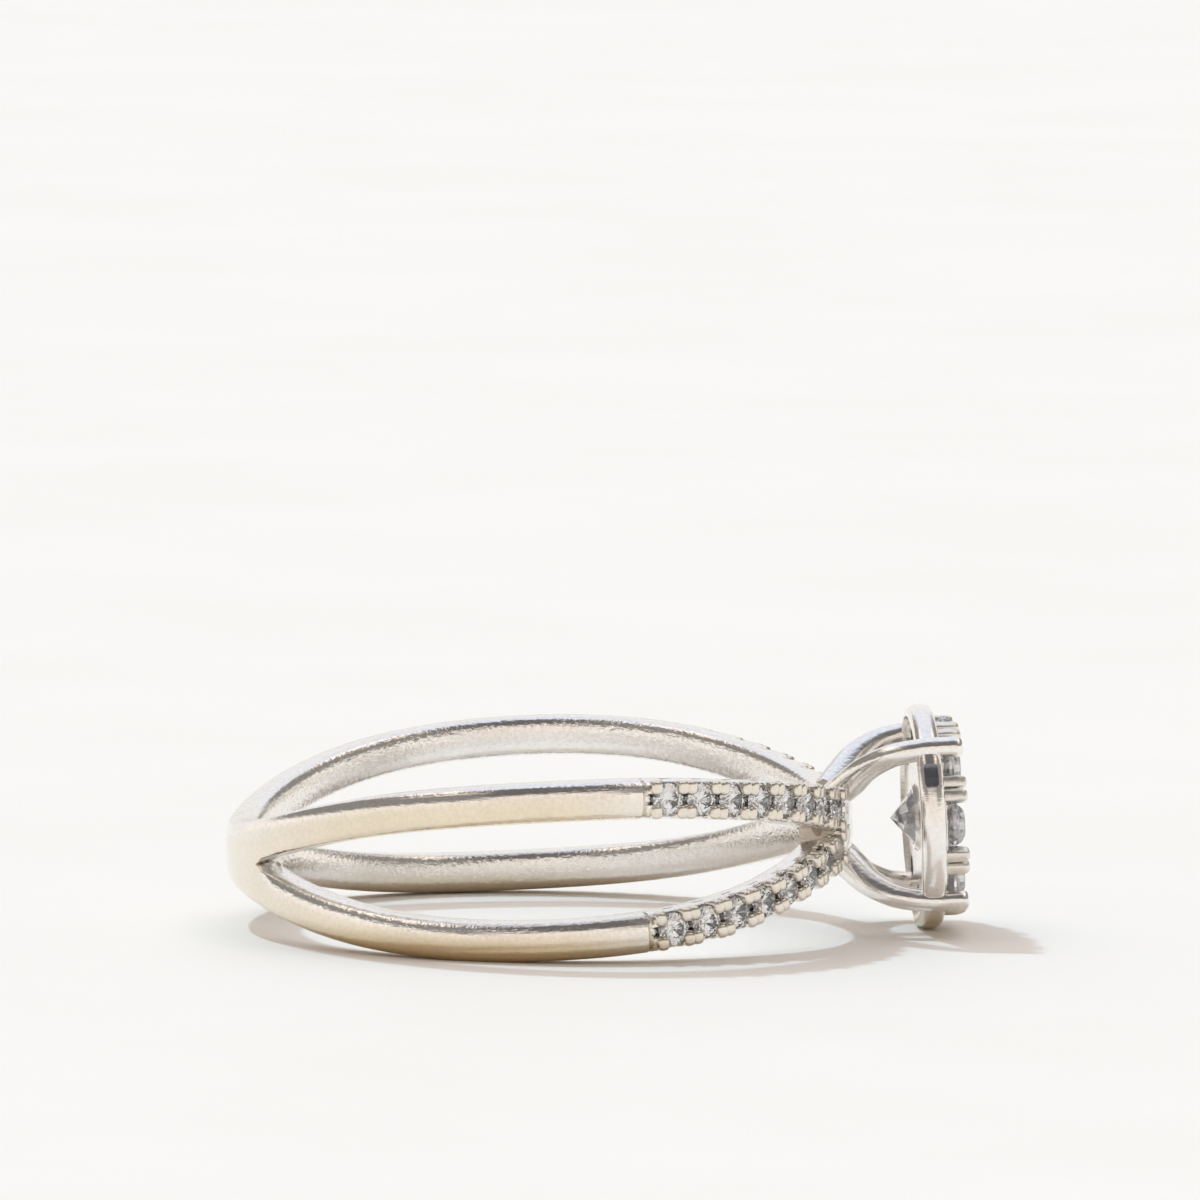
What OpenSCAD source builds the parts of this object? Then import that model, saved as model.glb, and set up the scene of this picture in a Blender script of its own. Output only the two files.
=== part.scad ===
/* [Band] */
// Inside diameter of the finger hole
finger_d = 17.3; // [15:0.1:21]
// Thickness of a strand from its inner face to its outer face
strand_t = 1.2; // [1:0.05:1.5]
// Width of a strand along the finger
strand_w = 1.26; // [1:0.02:1.4]
// How much wider a strand is under the head
strand_swell = 0.28; // [0:0.02:0.5]
// Distance of a strand's centre line from the middle of the band at the sides of the finger
spread_side = 2.15; // [1.6:0.05:2.6]
// The same distance under the head
spread_head = 0.26; // [0.2:0.02:0.6]
// The same distance at the back of the finger
spread_back = 0.4; // [0.3:0.02:0.6]
// How much sooner than a plain wave the strands bend apart
spread_bend = 0.12; // [0:0.005:0.14]
// Rounding of a strand's two outer edges
edge_round = 0.2; // [0.15:0.05:0.4]

/* [Head] */
// Distance of the head's gallery from the middle of the finger hole
gallery_x = 11.7; // [11.2:0.05:12]
// Height of the gallery ring
gallery_h = 0.8; // [0.6:0.05:1]
// Outside radius of the gallery ring
gallery_r = 3.54; // [3.4:0.02:3.7]
// Diameter of a claw arm at its tip
arm_d = 0.64; // [0.5:0.02:0.75]
// Distance of the claw arms' tips from the head's axis
arm_r = 3.42; // [3.36:0.02:3.6]
// Width of one half of a split claw
claw_w = 0.46; // [0.34:0.02:0.48]

/* [Stones] */
// Diameter of the centre stone
centre_d = 3.44; // [3:0.02:3.5]
// Diameter of a side stone round the centre
side_d = 1.34; // [1.1:0.02:1.4]
// Diameter of a small stone in the strands
pave_d = 1.02; // [0.7:0.02:1.04]
// Number of small stones in each quarter of the band
pave_count = 8; // [5:1:8]
// Place of the stone nearest the head, as an angle round the finger
pave_start = 21.6; // [20:0.2:24]
// Angle from one small stone to the next
pave_pitch = 6.9; // [6.6:0.05:7]
// Space left all round each stone
stone_gap = 0.03; // [0.02:0.01:0.05]

/* [Hidden] */

// Radii of the band
finger_r = finger_d / 2;
band_r = finger_r + strand_t;
strand_steps = 48;
inner_bevel = 0.2;
meeting_reach = 20;
meeting_steps = 4;

// Proportions of a round brilliant, as shares of its diameter. The side stones are cut thicker.
table_share = 0.57;
crown_share = 0.145;
girdle_share = 0.03;
pavilion_share = 0.43;
side_table_share = 0.66;
side_crown_share = 0.18;
side_girdle_share = 0.1;

// Levels along the head's axis, measured from the middle of the finger hole
gallery_top = gallery_x + gallery_h;
table_x = gallery_top + 0.62;
tip_x = table_x + 0.2;
arm_tip_x = tip_x - 0.12;

// Ring of side stones, and the split claws between them
side_ring_r = centre_d / 2 + side_d / 2 + 0.07;
side_count = 8;
room_sides = 12;
side_step = 360 / side_count;
claw_ring_r = 2.96;
claw_slit = 0.05;

// Gallery: a ring with a seat plate in it, pierced under every stone
seat_r = 3.1;
seat_top = gallery_top + 0.04;
culet_hole_r = 0.85;
under_hole_r = 0.32;
window_size = [0.44, 0.8, 1.2];
window_turn = 28;

// Path of a claw arm from the band to its tip: distance from the finger's middle,
// distance from the head's axis, and thickness
arm_path = [
    [band_r - 0.6, 1.3, 1.0], [band_r - 0.2, 1.8, 1.05], [band_r + 0.25, 2.46, 0.92],
    [band_r + 0.78, 2.93, 0.8], [band_r + 1.3, 3.2, 0.72], [gallery_x + 0.25, arm_r - 0.04, 0.68],
    [gallery_top, arm_r, arm_d], [arm_tip_x - arm_d / 2, arm_r, arm_d]
];
arm_turns = [45, 135, 225, 315];
arm_sides = 8;
arm_fine = 2;
tip_rounding = [35, 68];

// Small stones: depth of their tables under the strand's face, and the beads between them
pave_sink = 0.02;
bead_d = 0.34;
bead_inset = 0.2;
groove_w = 0.1;
groove_depth = 0.1;

// Offset of a strand from the middle of the band at an angle round the finger
function spread(a) =
    let (ends = (spread_head + spread_back) / 2 + (spread_head - spread_back) / 2 * cos(a))
    (spread_side + ends) / 2 - (spread_side - ends) / 2 * cos(2 * a) + spread_bend * (1 - cos(4 * a));

// Width of a strand at an angle round the finger
function width(a) = strand_w + strand_swell * pow(max(0, cos(a)), 6);

// Lean of a strand's line from the plane of the band
function lean(a, side) = atan(side * (spread(a + 1) - spread(a - 1)) / (2 * band_r * sin(1)));

// Rest: the ring leans until the lower strands and the gallery's rim touch the ground
rest_x = gallery_x + gallery_h / 2;
rest_tilt = atan(min([for (a = [60:1:150])
    (gallery_r - spread(a) - width(a) / 2) / (rest_x - band_r * cos(a))]));
rest_lift = gallery_r * cos(rest_tilt) - rest_x * sin(rest_tilt);
front_x = tip_x * cos(rest_tilt) + claw_ring_r * sin(rest_tilt);
back_x = band_r * cos(rest_tilt) + spread_back * sin(rest_tilt);
rest_shift = (front_x - back_x) / 2;

// Section of a strand: distance out from the inner face, and place across the width
function strand_section(a) =
    let (w = width(a) / 2, q = inner_bevel, e = edge_round, crown = 0.05)
    [[0, q - w], [0, w - q], [q, w], [strand_t - e - crown, w],
     [strand_t - crown - 0.3 * e, w - 0.3 * e], [strand_t - crown, w - e], [strand_t, 0],
     [strand_t - crown, e - w], [strand_t - crown - 0.3 * e, 0.3 * e - w],
     [strand_t - e - crown, -w], [q, -w]];

function strand_point(a, side, p) =
    let (out = finger_r + p[0], t = lean(a, side))
    [out * cos(a) + p[1] * sin(t) * sin(a),
     out * sin(a) - p[1] * sin(t) * cos(a),
     side * spread(a) + p[1] * cos(t)];

// Closed loop swept from rings of points that all have the same number of corners
module loop_sweep(rings) {
    n = len(rings);
    m = len(rings[0]);
    polyhedron(
        points = [for (ring = rings) each ring],
        faces = [for (i = [0:n - 1], j = [0:m - 1]) let (i2 = (i + 1) % n, j2 = (j + 1) % m)
            each [[i * m + j, i2 * m + j2, i * m + j2], [i * m + j, i2 * m + j, i2 * m + j2]]],
        convexity = 6);
}

// Bar swept from rings of points, closed by a cap at each end
module bar_sweep(rings) {
    n = len(rings);
    m = len(rings[0]);
    polyhedron(
        points = [for (ring = rings) each ring],
        faces = concat(
            [[for (j = [0:m - 1]) j]],
            [for (i = [0:n - 2], j = [0:m - 1]) let (j2 = (j + 1) % m)
                each [[i * m + j, (i + 1) * m + j2, i * m + j2],
                      [i * m + j, (i + 1) * m + j, (i + 1) * m + j2]]],
            [[for (j = [0:m - 1]) n * m - 1 - j]]),
        convexity = 6);
}

module strand(side) {
    loop_sweep([for (i = [0:strand_steps - 1])
        let (a = i * 360 / strand_steps) [for (p = strand_section(a)) strand_point(a, side, p)]]);
}

// Fills the fork between the strands where they meet, under the head or at the back
module meeting(middle) {
    bar_sweep([for (i = [-meeting_steps:meeting_steps])
        let (a = middle + i * meeting_reach / meeting_steps, h = spread(a) * 0.9,
             u = finger_r + 0.1, v = band_r - 0.01)
        [[u * cos(a), u * sin(a), -h], [u * cos(a), u * sin(a), h],
         [v * cos(a), v * sin(a), h], [v * cos(a), v * sin(a), -h]]]);
}

module strand_piece() {
    strand(1);
    strand(-1);
    meeting(0);
    meeting(180);
}

// Round brilliant with its girdle's upper edge at height 0
module brilliant(d, table = table_share, crown = crown_share, girdle = girdle_share) {
    r = d / 2;
    table_r = r * table;
    star_r = 0.53 * (r + table_r);
    lower_r = 0.25 * r;
    crown_h = d * crown;
    girdle_h = d * girdle;
    pavilion_h = d * pavilion_share;
    star_h = crown_h * (r - star_r * cos(22.5)) / (r - table_r);
    lower_h = girdle_h + pavilion_h * (1 - lower_r * cos(22.5) / r);
    function ring(n, r, h, turn) = [for (k = [0:n - 1])
        let (a = k * 360 / n + turn) [r * cos(a), r * sin(a), h]];
    points = concat(
        ring(8, table_r, crown_h, 0), ring(8, star_r, star_h, 22.5), ring(16, r, 0, 0),
        ring(16, r, -girdle_h, 0), ring(8, lower_r, -lower_h, 22.5),
        [[0, 0, -girdle_h - pavilion_h]]);
    star = 8;
    upper = 16;
    lower = 32;
    deep = 48;
    culet = 56;
    polyhedron(
        points = points,
        faces = concat(
            [[for (k = [0:7]) 7 - k]],
            [for (k = [0:7]) let (next = (k + 1) % 8, last = (k + 7) % 8, g = 2 * k)
                each [
                    [k, next, star + k],
                    [k, star + k, upper + g],
                    [k, upper + g, star + last],
                    [star + k, upper + g + 1, upper + g],
                    [star + k, upper + (g + 2) % 16, upper + g + 1],
                    [deep + k, lower + g, lower + g + 1],
                    [deep + k, lower + g + 1, lower + (g + 2) % 16],
                    [culet, deep + last, lower + g],
                    [culet, lower + g, deep + k]]],
            [for (k = [0:15]) let (next = (k + 1) % 16)
                each [[upper + k, upper + next, lower + next], [upper + k, lower + next, lower + k]]]),
        convexity = 2);
}

// Small brilliant with eight crown facets and eight pavilion facets
module small_brilliant(d) {
    crown_h = d * crown_share;
    girdle_h = d * girdle_share;
    cylinder(h = crown_h, d1 = d, d2 = d * table_share, $fn = 8);
    translate([0, 0, -girdle_h]) cylinder(h = girdle_h, d = d, $fn = 8);
    translate([0, 0, -girdle_h - d * pavilion_share])
        cylinder(h = d * pavilion_share, d1 = 0.02, d2 = d, $fn = 8);
}

// Room for a round brilliant, with the gap round it
module brilliant_room(d, crown = crown_share, girdle = girdle_share) {
    room_d = (d + 2 * stone_gap) / cos(180 / room_sides);
    translate([0, 0, -d * girdle]) {
        cylinder(h = d * (girdle + crown) + stone_gap, d = room_d, $fn = room_sides);
        translate([0, 0, 0.01 - room_d * pavilion_share])
            cylinder(h = room_d * pavilion_share, d1 = 0.02, d2 = room_d, $fn = room_sides);
    }
}

// Places children on the head's axis, looking along it from the finger's side
module on_head(level) {
    translate([level, 0, 0]) rotate([0, 90, 0]) children();
}

// Places children on a strand's outer face, at an angle round the finger from the head
module on_strand(angle, side) {
    rotate([0, 0, angle]) translate([band_r, 0, side * spread(angle)])
        rotate([lean(angle, side), 0, 0]) rotate([0, 90, 0]) children();
}

// Lays the ring down on its side, with its box centred over the origin
module at_rest() {
    translate([-rest_shift, 0, rest_lift]) rotate([0, -rest_tilt, 0]) children();
}

module at_side(i) {
    rotate([i * side_step, 0, 0]) translate([0, 0, side_ring_r])
        on_head(table_x - side_d * side_crown_share) children();
}

function arm_point(i) = arm_path[max(0, min(len(arm_path) - 1, i))];

// Smooth curve through the arm's path: u counts its points
function arm_at(u) =
    let (i = floor(u), t = u - i, a = arm_point(i - 1), b = arm_point(i), c = arm_point(i + 1),
         d = arm_point(i + 2))
    0.5 * ((2 * b) + (c - a) * t + (2 * a - 5 * b + 4 * c - d) * t * t
           + (3 * b - a - 3 * c + d) * t * t * t);

function arm_ring(centre, way, deep, wide) = [for (j = [0:arm_sides - 1])
    let (a = -j * 360 / arm_sides, off = deep / 2 * cos(a))
    [centre[0] - off * sin(way), wide / 2 * sin(a), centre[1] + off * cos(way)]];

module claw_arm(turn) {
    last = (len(arm_path) - 1) * arm_fine;
    tip = arm_path[len(arm_path) - 1];
    body = [for (i = [0:last])
        let (u = i / arm_fine, p = arm_at(u), step = arm_at(u + 0.05) - arm_at(u - 0.05))
        arm_ring(p, atan2(step[1], step[0]), p[2], arm_d + 0.04 * (last - i) / last)];
    end = [for (b = tip_rounding)
        arm_ring([tip[0] + arm_d / 2 * sin(b), tip[1]], 0, arm_d * cos(b), arm_d * cos(b))];
    rotate([turn, 0, 0]) bar_sweep(concat(body, end));
}

module gallery() {
    r = gallery_r;
    h = gallery_h;
    on_head(gallery_x) rotate_extrude($fn = 40) polygon([
        [culet_hole_r, 0], [r - 0.32, 0], [r - 0.13, h * 0.1], [r - 0.03, h * 0.28], [r, h / 2],
        [r - 0.03, h * 0.72], [r - 0.13, h * 0.9], [r - 0.32, h], [seat_r, h],
        [seat_r, seat_top - gallery_x],
        [culet_hole_r, seat_top - gallery_x]]);
}

// One half of a claw that two neighbouring side stones share
module half_claw(turn, half) {
    rotate([turn, 0, 0]) hull() {
        translate([gallery_top - 0.2, half * (claw_w + claw_slit) / 2, claw_ring_r])
            sphere(d = claw_w, $fn = 6);
        translate([tip_x - claw_w / 2, half * (claw_w + claw_slit) / 2, claw_ring_r])
            sphere(d = claw_w, $fn = 6);
        translate([tip_x - claw_w / 2, half * claw_w * 0.62, claw_ring_r - 0.12])
            sphere(d = claw_w, $fn = 6);
    }
}

module head_metal() {
    difference() {
        union() {
            gallery();
            for (turn = arm_turns) claw_arm(turn);
            for (i = [0:side_count - 1], half = [-1, 1]) half_claw((i + 0.5) * side_step, half);
        }
        on_head(table_x - centre_d * crown_share) brilliant_room(centre_d);
        for (i = [0:side_count - 1]) at_side(i) {
            brilliant_room(side_d, side_crown_share, side_girdle_share);
            mirror([0, 0, 1]) cylinder(h = 2, r = under_hole_r, $fn = 8);
        }
        for (turn = [90 - window_turn, 270 - window_turn])
            rotate([turn, 0, 0]) translate([gallery_x + gallery_h / 2, 0, gallery_r])
                cube(window_size, center = true);
    }
}

// Seats of the small stones in one quarter of the band, and the groove that ends them
module pave_seats(way, side) {
    seat_depth = pave_sink + pave_d * (crown_share + girdle_share + pavilion_share) + stone_gap;
    for (i = [0:pave_count - 1]) on_strand(way * (pave_start + i * pave_pitch), side)
        translate([0, 0, -seat_depth]) cylinder(h = 1, d = pave_d + 2 * stone_gap, $fn = 8);
    on_strand(way * (pave_start + (pave_count - 0.3) * pave_pitch), side)
        cube([strand_w + 0.3, groove_w, 2 * groove_depth], center = true);
}

// Beads that hold the small stones, one at each edge in each space between them
module pave_beads(way, side) {
    for (i = [0:pave_count], edge = [-1, 1])
        on_strand(way * (pave_start + (i - 0.5) * pave_pitch), side)
            translate([edge * (width(pave_start + (i - 0.5) * pave_pitch) / 2 - bead_inset), 0,
                -bead_d / 2])
                cylinder(h = bead_d * 0.62, d1 = bead_d, d2 = bead_d * 0.6, $fn = 5);
}

module ring_body() {
    color("lightgray") at_rest() {
        difference() {
            strand_piece();
            for (way = [-1, 1], side = [-1, 1]) pave_seats(way, side);
        }
        for (way = [-1, 1], side = [-1, 1]) pave_beads(way, side);
        head_metal();
    }
}

module centre_stone() {
    color("whitesmoke") at_rest() on_head(table_x - centre_d * crown_share) brilliant(centre_d);
}

module side_stone(i) {
    color("whitesmoke") at_rest() at_side(i)
        brilliant(side_d, side_table_share, side_crown_share, side_girdle_share);
}

module pave_row(way, side) {
    color("gainsboro") at_rest()
        for (i = [0:pave_count - 1]) on_strand(way * (pave_start + i * pave_pitch), side)
            translate([0, 0, -pave_sink - pave_d * crown_share]) small_brilliant(pave_d);
}

ring_body();
centre_stone();
side_stone(0);  // side_stone_1
side_stone(1);  // side_stone_2
side_stone(2);  // side_stone_3
side_stone(3);  // side_stone_4
side_stone(4);  // side_stone_5
side_stone(5);  // side_stone_6
side_stone(6);  // side_stone_7
side_stone(7);  // side_stone_8
pave_row(-1, 1);  // pave_near_upper
pave_row(-1, -1);  // pave_near_lower
pave_row(1, 1);  // pave_far_upper
pave_row(1, -1);  // pave_far_lower
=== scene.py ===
import math

import bmesh
import bpy
import numpy as np
from mathutils import Matrix, Vector


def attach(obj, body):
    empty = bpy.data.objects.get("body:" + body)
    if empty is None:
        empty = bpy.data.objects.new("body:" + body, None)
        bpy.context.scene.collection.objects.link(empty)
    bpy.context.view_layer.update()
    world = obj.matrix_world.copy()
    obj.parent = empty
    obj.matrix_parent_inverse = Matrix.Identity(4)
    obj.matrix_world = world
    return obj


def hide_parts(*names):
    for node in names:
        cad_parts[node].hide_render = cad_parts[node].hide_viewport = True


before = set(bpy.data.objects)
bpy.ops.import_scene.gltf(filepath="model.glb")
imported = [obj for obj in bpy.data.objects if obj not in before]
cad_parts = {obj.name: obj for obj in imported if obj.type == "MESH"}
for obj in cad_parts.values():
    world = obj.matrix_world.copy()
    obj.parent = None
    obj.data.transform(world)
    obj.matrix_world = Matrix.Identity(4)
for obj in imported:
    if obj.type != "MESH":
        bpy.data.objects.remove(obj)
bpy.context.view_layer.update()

MM = 0.001

# Sizes in millimetres, round the middle of the finger hole, with the head on +X. They are the solids' own.
FINGER_R = 8.65
STRAND_T = 1.2
BAND_R = FINGER_R + STRAND_T
STRAND_W = 1.26
STRAND_SWELL = 0.28
SWELL_POWER = 6
SPREAD_SIDE = 2.15
SPREAD_HEAD = 0.26
SPREAD_BACK = 0.4
SPREAD_BEND = 0.12

GALLERY_X = 11.7
GALLERY_H = 0.8
GALLERY_R = 3.54
GALLERY_TOP = GALLERY_X + GALLERY_H
TABLE_X = GALLERY_TOP + 0.62
TIP_X = TABLE_X + 0.2
ARM_TIP_X = TIP_X - 0.12
SEAT_R = 3.1
SEAT_TOP = GALLERY_TOP + 0.04
CULET_HOLE_R = 0.85
UNDER_HOLE_R = 0.32
WINDOW_TURN = 28

# Path of an arm: level along the head's axis, distance from it, and thickness
ARM_D = 0.64
ARM_R = 3.42
ARM_PATH = [
    (BAND_R - 0.6, 1.3, 1.0), (BAND_R - 0.2, 1.8, 1.05), (BAND_R + 0.25, 2.46, 0.92),
    (BAND_R + 0.78, 2.93, 0.8), (BAND_R + 1.3, 3.2, 0.72), (GALLERY_X + 0.25, ARM_R - 0.04, 0.68),
    (GALLERY_TOP, ARM_R, ARM_D), (ARM_TIP_X - ARM_D / 2, ARM_R, ARM_D)]
ARM_TURNS = (45, 135, 225, 315)
CLAW_W = 0.46
CLAW_RING_R = 2.96

CENTRE_D = 3.44
SIDE_D = 1.34
SIDE_COUNT = 8
SIDE_RING_R = CENTRE_D / 2 + SIDE_D / 2 + 0.07
PAVE_D = 1.02
PAVE_COUNT = 8
PAVE_START = 21.6
PAVE_PITCH = 6.9
PAVE_SINK = 0.02
STONE_GAP = 0.03

# Proportions of a round brilliant, as shares of its diameter
TABLE_SHARE = 0.57
CROWN_SHARE = 0.145
GIRDLE_SHARE = 0.03
PAVILION_SHARE = 0.43
SIDE_CROWN_SHARE = 0.18
SIDE_GIRDLE_SHARE = 0.1

# How the photographed ring differs from the solids: its crossings are turned by a few degrees, and beside
# the head its near strands run higher and the near lower one is slimmer. The ranges are of the cosine of
# the angle from the head, and the near side blends into the far one over NEAR_BLEND degrees either way.
SKEW_BACK = 2.5
SKEW_HEAD = 0.5
RISE_UPPER = 0.18
RISE_LOWER = 0.09
RISE_RANGE = (0.5, 0.93)
SLIMMER = 0.1
SLIM_RANGE = (0.5, 0.85)
NEAR_BLEND = 14


def smooth(value, low, high):
    """0 up to low, 1 from high on, and a smooth bend between them."""
    x = np.clip((value - low) / (high - low), 0, 1)
    return x * x * (3 - 2 * x)


def spread(angle):
    """Offset of a strand from the middle of the band, at an angle in degrees from the head."""
    a = np.radians(angle)
    ends = (SPREAD_HEAD + SPREAD_BACK) / 2 + (SPREAD_HEAD - SPREAD_BACK) / 2 * np.cos(a)
    wave = (SPREAD_SIDE + ends) / 2 - (SPREAD_SIDE - ends) / 2 * np.cos(2 * a)
    return wave + SPREAD_BEND * (1 - np.cos(4 * a))


def width(angle):
    return STRAND_W + STRAND_SWELL * np.maximum(0, np.cos(np.radians(angle))) ** SWELL_POWER


def offset(angle):
    """The same offset as spread, with the crossings turned as on the photographed ring."""
    c = np.cos(np.radians(angle))
    return spread(angle + SKEW_BACK * (1 - c) / 2 + SKEW_HEAD * (1 + c) / 2)


def lean(angle, side):
    """Angle in radians by which a strand runs off the ring's own round."""
    step = 2 * BAND_R * math.sin(math.radians(1))
    return np.arctan(side * (offset(angle + 1) - offset(angle - 1)) / step)


# Rest: the same lean and lift as the solids, which stand on the gallery and on the lower strand
rest_x = GALLERY_X + GALLERY_H / 2
slopes = []
for angle in range(60, 151):
    level = rest_x - BAND_R * math.cos(math.radians(angle))
    slopes.append((GALLERY_R - spread(angle) - width(angle) / 2) / level)
tilt = math.atan(min(slopes))
lift = GALLERY_R * math.cos(tilt) - rest_x * math.sin(tilt)
front_x = TIP_X * math.cos(tilt) + CLAW_RING_R * math.sin(tilt)
back_x = BAND_R * math.cos(tilt) + SPREAD_BACK * math.sin(tilt)
shift = (front_x - back_x) / 2
TO_REST = (Matrix.Scale(MM, 4) @ Matrix.Translation((-shift, 0, lift))
           @ Matrix.Rotation(-tilt, 4, "Y"))


class Shape:
    """Points and faces of one piece, in millimetres."""

    def __init__(self):
        self.points = []
        self.faces = []
        self.count = 0

    def add(self, points, faces):
        points = np.asarray(points, float).reshape(-1, 3)
        self.points.append(points)
        self.faces += [tuple(i + self.count for i in face) for face in faces]
        self.count += len(points)

    def loft(self, rings, closed=False):
        """Skin over rings of the same number of points; closed joins the last ring to the first."""
        rings = np.asarray(rings, float)
        n, m = rings.shape[:2]
        faces = []
        for i in range(n if closed else n - 1):
            for j in range(m):
                faces.append((i * m + j, i * m + (j + 1) % m,
                              (i + 1) % n * m + (j + 1) % m, (i + 1) % n * m + j))
        if not closed:
            faces.append(tuple(range(m - 1, -1, -1)))
            faces.append(tuple(range((n - 1) * m, n * m)))
        self.add(rings, faces)


def add_object(name, data):
    obj = bpy.data.objects.new(name, data)
    bpy.context.scene.collection.objects.link(obj)
    return obj


def build_mesh(name, shape, place):
    """Mesh of a shape, moved to its place, with all its faces turned outwards."""
    mesh = bpy.data.meshes.new(name)
    mesh.from_pydata(np.concatenate(shape.points).tolist(), [], shape.faces)
    mesh.transform(place)
    work = bmesh.new()
    work.from_mesh(mesh)
    bmesh.ops.recalc_face_normals(work, faces=work.faces)
    work.to_mesh(mesh)
    work.free()
    return mesh


# Edges sharper than this many degrees stay sharp, and with 0 every face is flat
METAL_CREASE = 50
BEAD_CREASE = 60
GALLERY_CREASE = 35
STONE_CREASE = 0


def piece(name, shape, material, crease, stands_for=()):
    """Makes the object, laid down with the ring, and puts it on the frame."""
    mesh = build_mesh(name, shape, TO_REST)
    mesh.materials.append(material)
    mesh.polygons.foreach_set("use_smooth", [crease > 0] * len(mesh.polygons))
    if crease > 0:
        mesh.set_sharp_from_angle(angle=math.radians(crease))
    obj = add_object(name, mesh)
    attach(obj, "root")
    if stands_for:
        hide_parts(*stands_for)


class Graph:
    """Nodes of a material or of the world. A socket is fed by another node's output or by a constant."""

    def __init__(self, owner):
        owner.use_nodes = True
        self.nodes = owner.node_tree.nodes
        self.links = owner.node_tree.links

    def feed(self, socket, value):
        if isinstance(value, bpy.types.NodeSocket):
            self.links.new(value, socket)
        else:
            socket.default_value = value

    def coordinates(self, kind):
        return self.nodes.new("ShaderNodeTexCoord").outputs[kind]

    def along(self, vector, axis):
        """The vector's X, Y or Z."""
        node = self.nodes.new("ShaderNodeSeparateXYZ")
        self.feed(node.inputs["Vector"], vector)
        return node.outputs[axis]

    def mapping(self, vector, scale, location=(0, 0, 0)):
        node = self.nodes.new("ShaderNodeMapping")
        self.feed(node.inputs["Vector"], vector)
        self.feed(node.inputs["Scale"], scale)
        self.feed(node.inputs["Location"], location)
        return node.outputs["Vector"]

    def noise(self, vector, scale, detail):
        node = self.nodes.new("ShaderNodeTexNoise")
        self.feed(node.inputs["Vector"], vector)
        self.feed(node.inputs["Scale"], scale)
        self.feed(node.inputs["Detail"], detail)
        return node.outputs["Fac"]

    def ramp(self, value, stops):
        """Colours between stops of (place, colour)."""
        node = self.nodes.new("ShaderNodeValToRGB")
        self.feed(node.inputs["Fac"], value)
        elements = node.color_ramp.elements
        while len(elements) < len(stops):
            elements.new(0.5)
        for element, (place, colour) in zip(elements, stops):
            element.position = place
            element.color = (*colour, 1)
        return node.outputs["Color"]

    def mix(self, factor, first, second, blend="MIX"):
        node = self.nodes.new("ShaderNodeMix")
        node.data_type = "RGBA"
        node.blend_type = blend
        self.feed(node.inputs["Factor"], factor)
        self.feed(node.inputs["A"], first)
        self.feed(node.inputs["B"], second)
        return node.outputs["Result"]

    def map_range(self, value, low, high, bend="SMOOTHSTEP"):
        """0 at low and 1 at high; low may be the larger of the two."""
        node = self.nodes.new("ShaderNodeMapRange")
        node.interpolation_type = bend
        self.feed(node.inputs["Value"], value)
        self.feed(node.inputs["From Min"], low)
        self.feed(node.inputs["From Max"], high)
        return node.outputs["Result"]

    def calculate(self, operation, *values):
        node = self.nodes.new("ShaderNodeMath")
        node.operation = operation
        for socket, value in zip(node.inputs, values):
            self.feed(socket, value)
        return node.outputs["Value"]

    def vector_work(self, operation, vector, result):
        node = self.nodes.new("ShaderNodeVectorMath")
        node.operation = operation
        self.feed(node.inputs[0], vector)
        return node.outputs[result]

    def bumps(self, layers):
        """Normal with layers of (height, strength, distance) over each other."""
        normal = None
        for height, strength, distance in layers:
            node = self.nodes.new("ShaderNodeBump")
            self.feed(node.inputs["Height"], height)
            self.feed(node.inputs["Strength"], strength)
            self.feed(node.inputs["Distance"], distance)
            if normal:
                self.feed(node.inputs["Normal"], normal)
            normal = node.outputs["Normal"]
        return normal


def new_material(name):
    material = bpy.data.materials.new(name)
    graph = Graph(material)
    return material, graph, graph.nodes["Principled BSDF"]


def grey(value):
    return (value, value, value)


DARKER = 0.95


def shades(tint):
    """Ramp stops from a tint to a slightly darker one."""
    return [(0.3, tint), (0.7, tuple(c * DARKER for c in tint))]


# Metal: its patterns as (waves per metre, detail), their bumps as (strength, depth in metres), and where
# they lie, in metres as the ring rests
BROAD_NOISE = (420.0, 2.0)
FINE_NOISE = (3200.0, 3.0)
FINE_STRETCH = (1.0, 1.0, 5.0)
GRAIN_NOISE = (11000.0, 2.0)
SPECKLE_NOISE = (8000.0, 4.0)
NICK_NOISE = (7000.0, 3.0)
BROAD_BUMP = (0.25, 0.00006)
FINE_BUMP = (0.2, 0.00003)
GRAIN_BUMP = (0.3, 0.000005)
NICK_BUMP = (0.8, 0.00003)
SPECKLE_STOPS = [(0.35, grey(1.0)), (0.65, (0.93, 0.92, 0.90))]
# Painted shade: from the first height down to the second, in metres, the metal is darkened by this tint
GROUND_SHADE_HEIGHT = (0.00102, 0.0002)
GROUND_SHADE_TINT = (0.70, 0.61, 0.47, 1)
# Nicks lie everywhere but on the crown of the outer face, by distance from the finger hole's middle line
NICK_EDGE = (0.00978, 0.00970)
# A painted reflection of the warm floor tints the outside of the ring's back half where it doesn't face up,
# and fades to the back end. Its facing range is of how far the surface faces up.
FLOOR_REFLECTION_OUTSIDE = (0.00945, 0.0096)
FLOOR_REFLECTION_FACING = (0.35, -0.1)
FLOOR_REFLECTION_FRONT = (0.0025, -0.0025)
FLOOR_REFLECTION_BACK = (-0.016, -0.007)


def ring_distance(graph, coords):
    """Distance of a point from the finger hole's middle line."""
    flat = graph.mapping(coords, (1, 1, 0), (shift * MM, 0, 0))
    return graph.vector_work("LENGTH", flat, "Value")


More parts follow.
